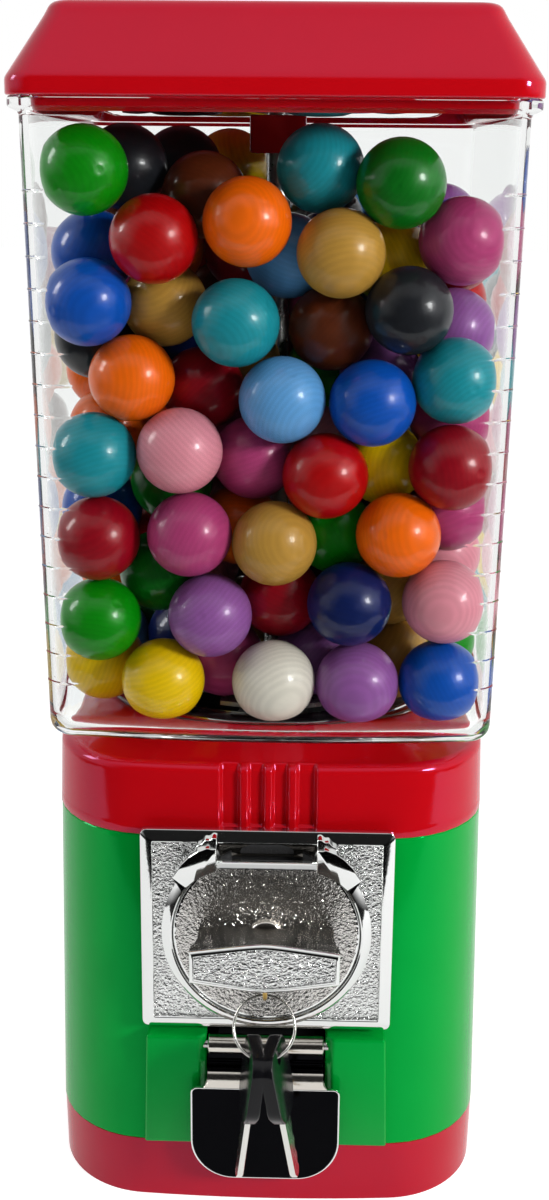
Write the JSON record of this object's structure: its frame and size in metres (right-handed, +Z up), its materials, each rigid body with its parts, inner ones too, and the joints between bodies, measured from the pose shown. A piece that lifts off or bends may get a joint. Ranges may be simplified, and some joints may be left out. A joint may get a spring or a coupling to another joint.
{
  "type": "gumball machine",
  "caption": "Counter-top vending machine: clear square canister of painted wooden balls, lift-off lid, two-colour body, coin mechanism with turning handle, delivery flap and hanging keys.",
  "frame": {"origin": "centre of the base's underside", "axes": "+Z up, the front with the coin mechanism faces -Y, +X to the viewer's right"},
  "size_m": [0.1564, 0.1908, 0.3915],
  "materials": {
    "red_shell": "glossy",
    "green_shell": "glossy",
    "black_plastic": "satin",
    "key_plastic": "glossy",
    "clear_plastic": "clear",
    "chrome": "polished, crinkled fields",
    "steel": "zinc plated",
    "dark_casting": "dark zinc casting",
    "lock_chrome": "polished",
    "black_wood": "painted, satin varnish",
    "blue_wood": "painted, satin varnish",
    "brown_wood": "painted, satin varnish",
    "crimson_wood": "painted, satin varnish",
    "dark_green_wood": "painted, satin varnish",
    "gold_wood": "painted, satin varnish",
    "green_wood": "painted, satin varnish",
    "light_blue_wood": "painted, satin varnish",
    "magenta_wood": "painted, satin varnish",
    "navy_wood": "painted, satin varnish",
    "orange_wood": "painted, satin varnish",
    "pink_wood": "painted, satin varnish",
    "purple_wood": "painted, satin varnish",
    "red_wood": "painted, satin varnish",
    "teal_wood": "painted, satin varnish",
    "white_wood": "painted, satin varnish",
    "yellow_wood": "painted, satin varnish"
  },
  "bodies": {
    "machine": {"ball_guard": "black_plastic", "balls_black": "black_wood", "balls_blue": "blue_wood", "balls_brown": "brown_wood", "balls_crimson": "crimson_wood", "balls_dark_green": "dark_green_wood", "balls_gold": "gold_wood", "balls_green": "green_wood", "balls_light_blue": "light_blue_wood", "balls_magenta": "magenta_wood", "balls_navy": "navy_wood", "balls_orange": "orange_wood", "balls_pink": "pink_wood", "balls_purple": "purple_wood", "balls_red": "red_wood", "balls_teal": "teal_wood", "balls_white": "white_wood", "balls_yellow": "yellow_wood", "base_pan": "red_shell", "base_screws": "steel", "canister": "clear_plastic", "cash_tray": "black_plastic", "centre_rod": "steel", "chute": "black_plastic", "collar": "red_shell", "door_hinge_pin": "steel", "face_plate": "chrome", "housing": "green_shell", "latch_bracket": "steel", "mech_frame": "steel", "mech_screws": "steel", "rod_nut": "steel", "rod_washer": "steel", "wheel_housing": "black_plastic"},
    "handle_unit": {"dial": "chrome", "handle": "chrome", "coin_wheel": "dark_casting", "drive_shaft": "steel", "drive_gear": "black_plastic", "shaft_clip": "steel", "handle_screw": "steel"},
    "idler_unit": {"idler_gear": "black_plastic", "idler_pinion": "black_plastic", "idler_shaft": "steel"},
    "ball_wheel": {"product_wheel": "black_plastic"},
    "flap": {"flap_door": "chrome"},
    "keys": {"key_ring": "steel", "key_heads": "key_plastic", "key_blades": "steel"},
    "lid_unit": {"lid": "red_shell", "lock_body": "lock_chrome"},
    "lock": {"lock_plug": "lock_chrome", "lock_cam": "lock_chrome"}
  },
  "joints": [
    {"name": "handle_turn", "type": "hinge", "parent": "machine", "child": "handle_unit", "pos_m": [0, -0.083, 0.1055], "axis": [0, 1, 0], "continuous": true},
    {"name": "idler_turn", "type": "hinge", "parent": "machine", "child": "idler_unit", "pos_m": [0, -0.058, 0.1315], "axis": [0, 1, 0], "continuous": true},
    {"name": "wheel_turn", "type": "hinge", "parent": "machine", "child": "ball_wheel", "pos_m": [0, 0, 0.15], "axis": [0, 0, 1], "continuous": true},
    {"name": "flap_open", "type": "hinge", "parent": "machine", "child": "flap", "pos_m": [0, -0.0765, 0.0615], "axis": [-1, 0, 0], "range_deg": [0, 75]},
    {"name": "keys_swing", "type": "hinge", "parent": "handle_unit", "child": "keys", "pos_m": [0, -0.0928, 0.09], "axis": [-1, 0, 0], "range_deg": [0, 75]},
    {"name": "lid_lift", "type": "slide", "parent": "machine", "child": "lid_unit", "axis": [0, 0, 1], "range_m": [0, 0.08]},
    {"name": "lock_turn", "type": "hinge", "parent": "lid_unit", "child": "lock", "pos_m": [0, 0, 0.385], "axis": [0, 0, 1], "range_deg": [0, 90]}
  ],
  "couplings": [
    {"joint": "idler_turn", "follows": "handle_turn", "ratio": -1},
    {"joint": "wheel_turn", "follows": "handle_turn", "ratio": -0.16667},
    {"joint": "keys_swing", "follows": "flap_open", "ratio": 1}
  ]
}
